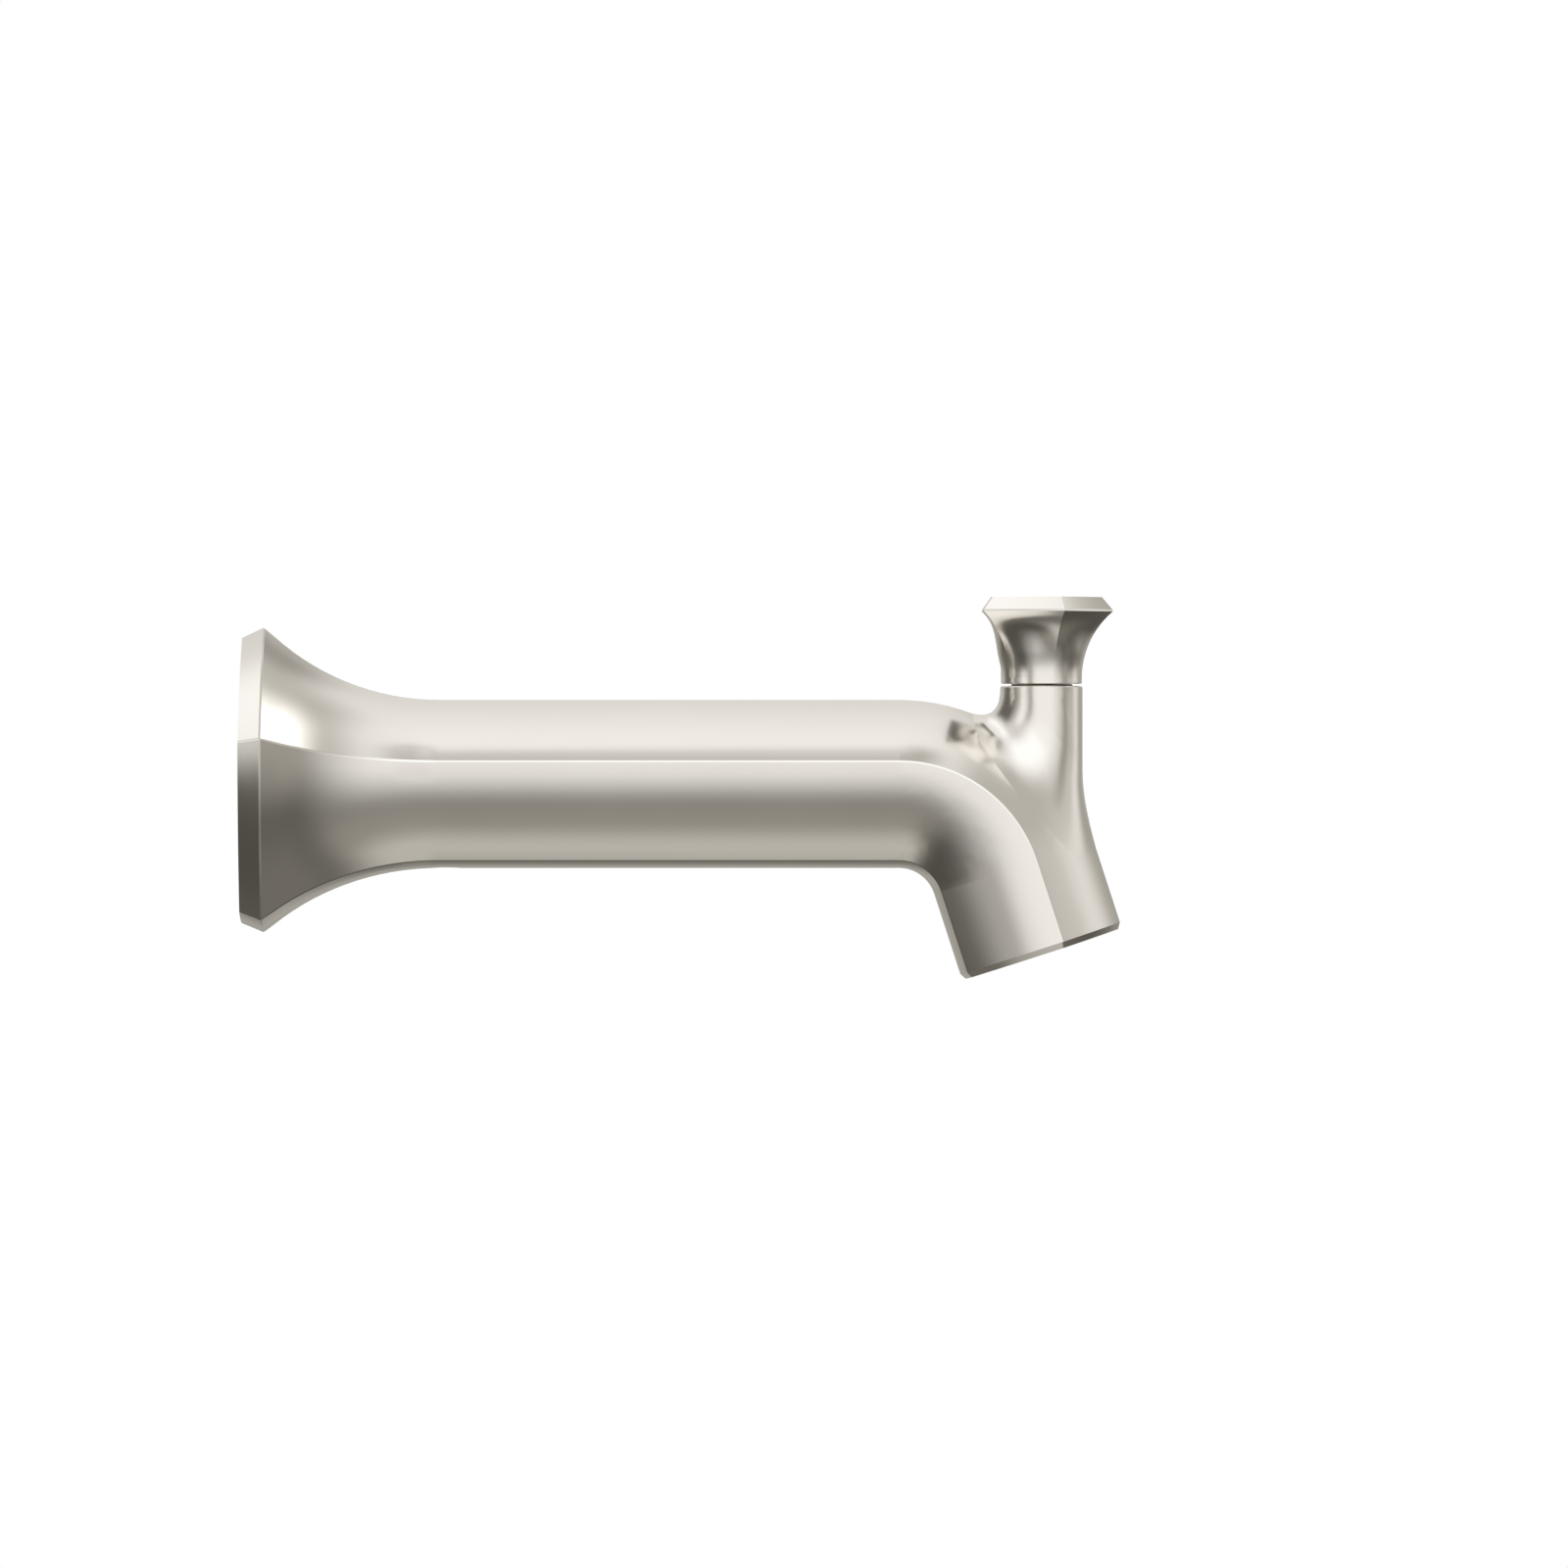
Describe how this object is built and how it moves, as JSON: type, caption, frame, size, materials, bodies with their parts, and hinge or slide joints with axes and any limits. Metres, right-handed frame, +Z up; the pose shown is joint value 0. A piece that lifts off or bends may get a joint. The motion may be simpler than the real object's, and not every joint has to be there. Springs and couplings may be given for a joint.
{
  "type": "wall mounted tub spout",
  "caption": "Wall mounted bath faucet spout with a flared five-sided flange, a straight shaft, a downturned outlet and a pull-up diverter knob on an upright neck.",
  "frame": {"origin": "on the finished wall, at the axis of the shaft and of the inlet", "axes": "+X out of the wall along the shaft, +Z up along the diverter's lift, +Y to the right for someone who stands in the room and faces the wall"},
  "size_m": [0.2015, 0.0704, 0.0876],
  "materials": {
    "satin_nickel": "satin",
    "cast_brass": "machined",
    "stainless_steel": "machined",
    "black_rubber": "matte",
    "white_acetal": "matte"
  },
  "bodies": {
    "spout": {"adapter_retaining_ring": "stainless_steel", "gland_nut": "cast_brass", "inlet_adapter": "cast_brass", "inlet_o_rings": "black_rubber", "inlet_set_screw": "stainless_steel", "outlet_retaining_ring": "stainless_steel", "rod_bushing": "white_acetal", "sleeve_lower_o_ring": "black_rubber", "sleeve_upper_o_ring": "black_rubber", "spout_body": "satin_nickel", "stream_straightener": "white_acetal", "tube_front_o_ring": "black_rubber", "tube_rear_o_ring": "black_rubber", "valve_sleeve": "white_acetal", "wall_gasket": "black_rubber", "waterway_tube": "white_acetal"},
    "diverter": {"knob": "satin_nickel", "knob_set_screw": "stainless_steel", "lift_rod": "stainless_steel", "diverter_piston": "white_acetal", "piston_seal": "black_rubber", "piston_clip": "stainless_steel", "washer_plate": "stainless_steel", "valve_washer": "black_rubber", "valve_disc": "cast_brass", "valve_nut": "stainless_steel"}
  },
  "joints": [
    {"name": "knob_lift", "type": "slide", "parent": "spout", "child": "diverter", "axis": [0, 0, 1], "range_m": [0, 0.009]}
  ]
}
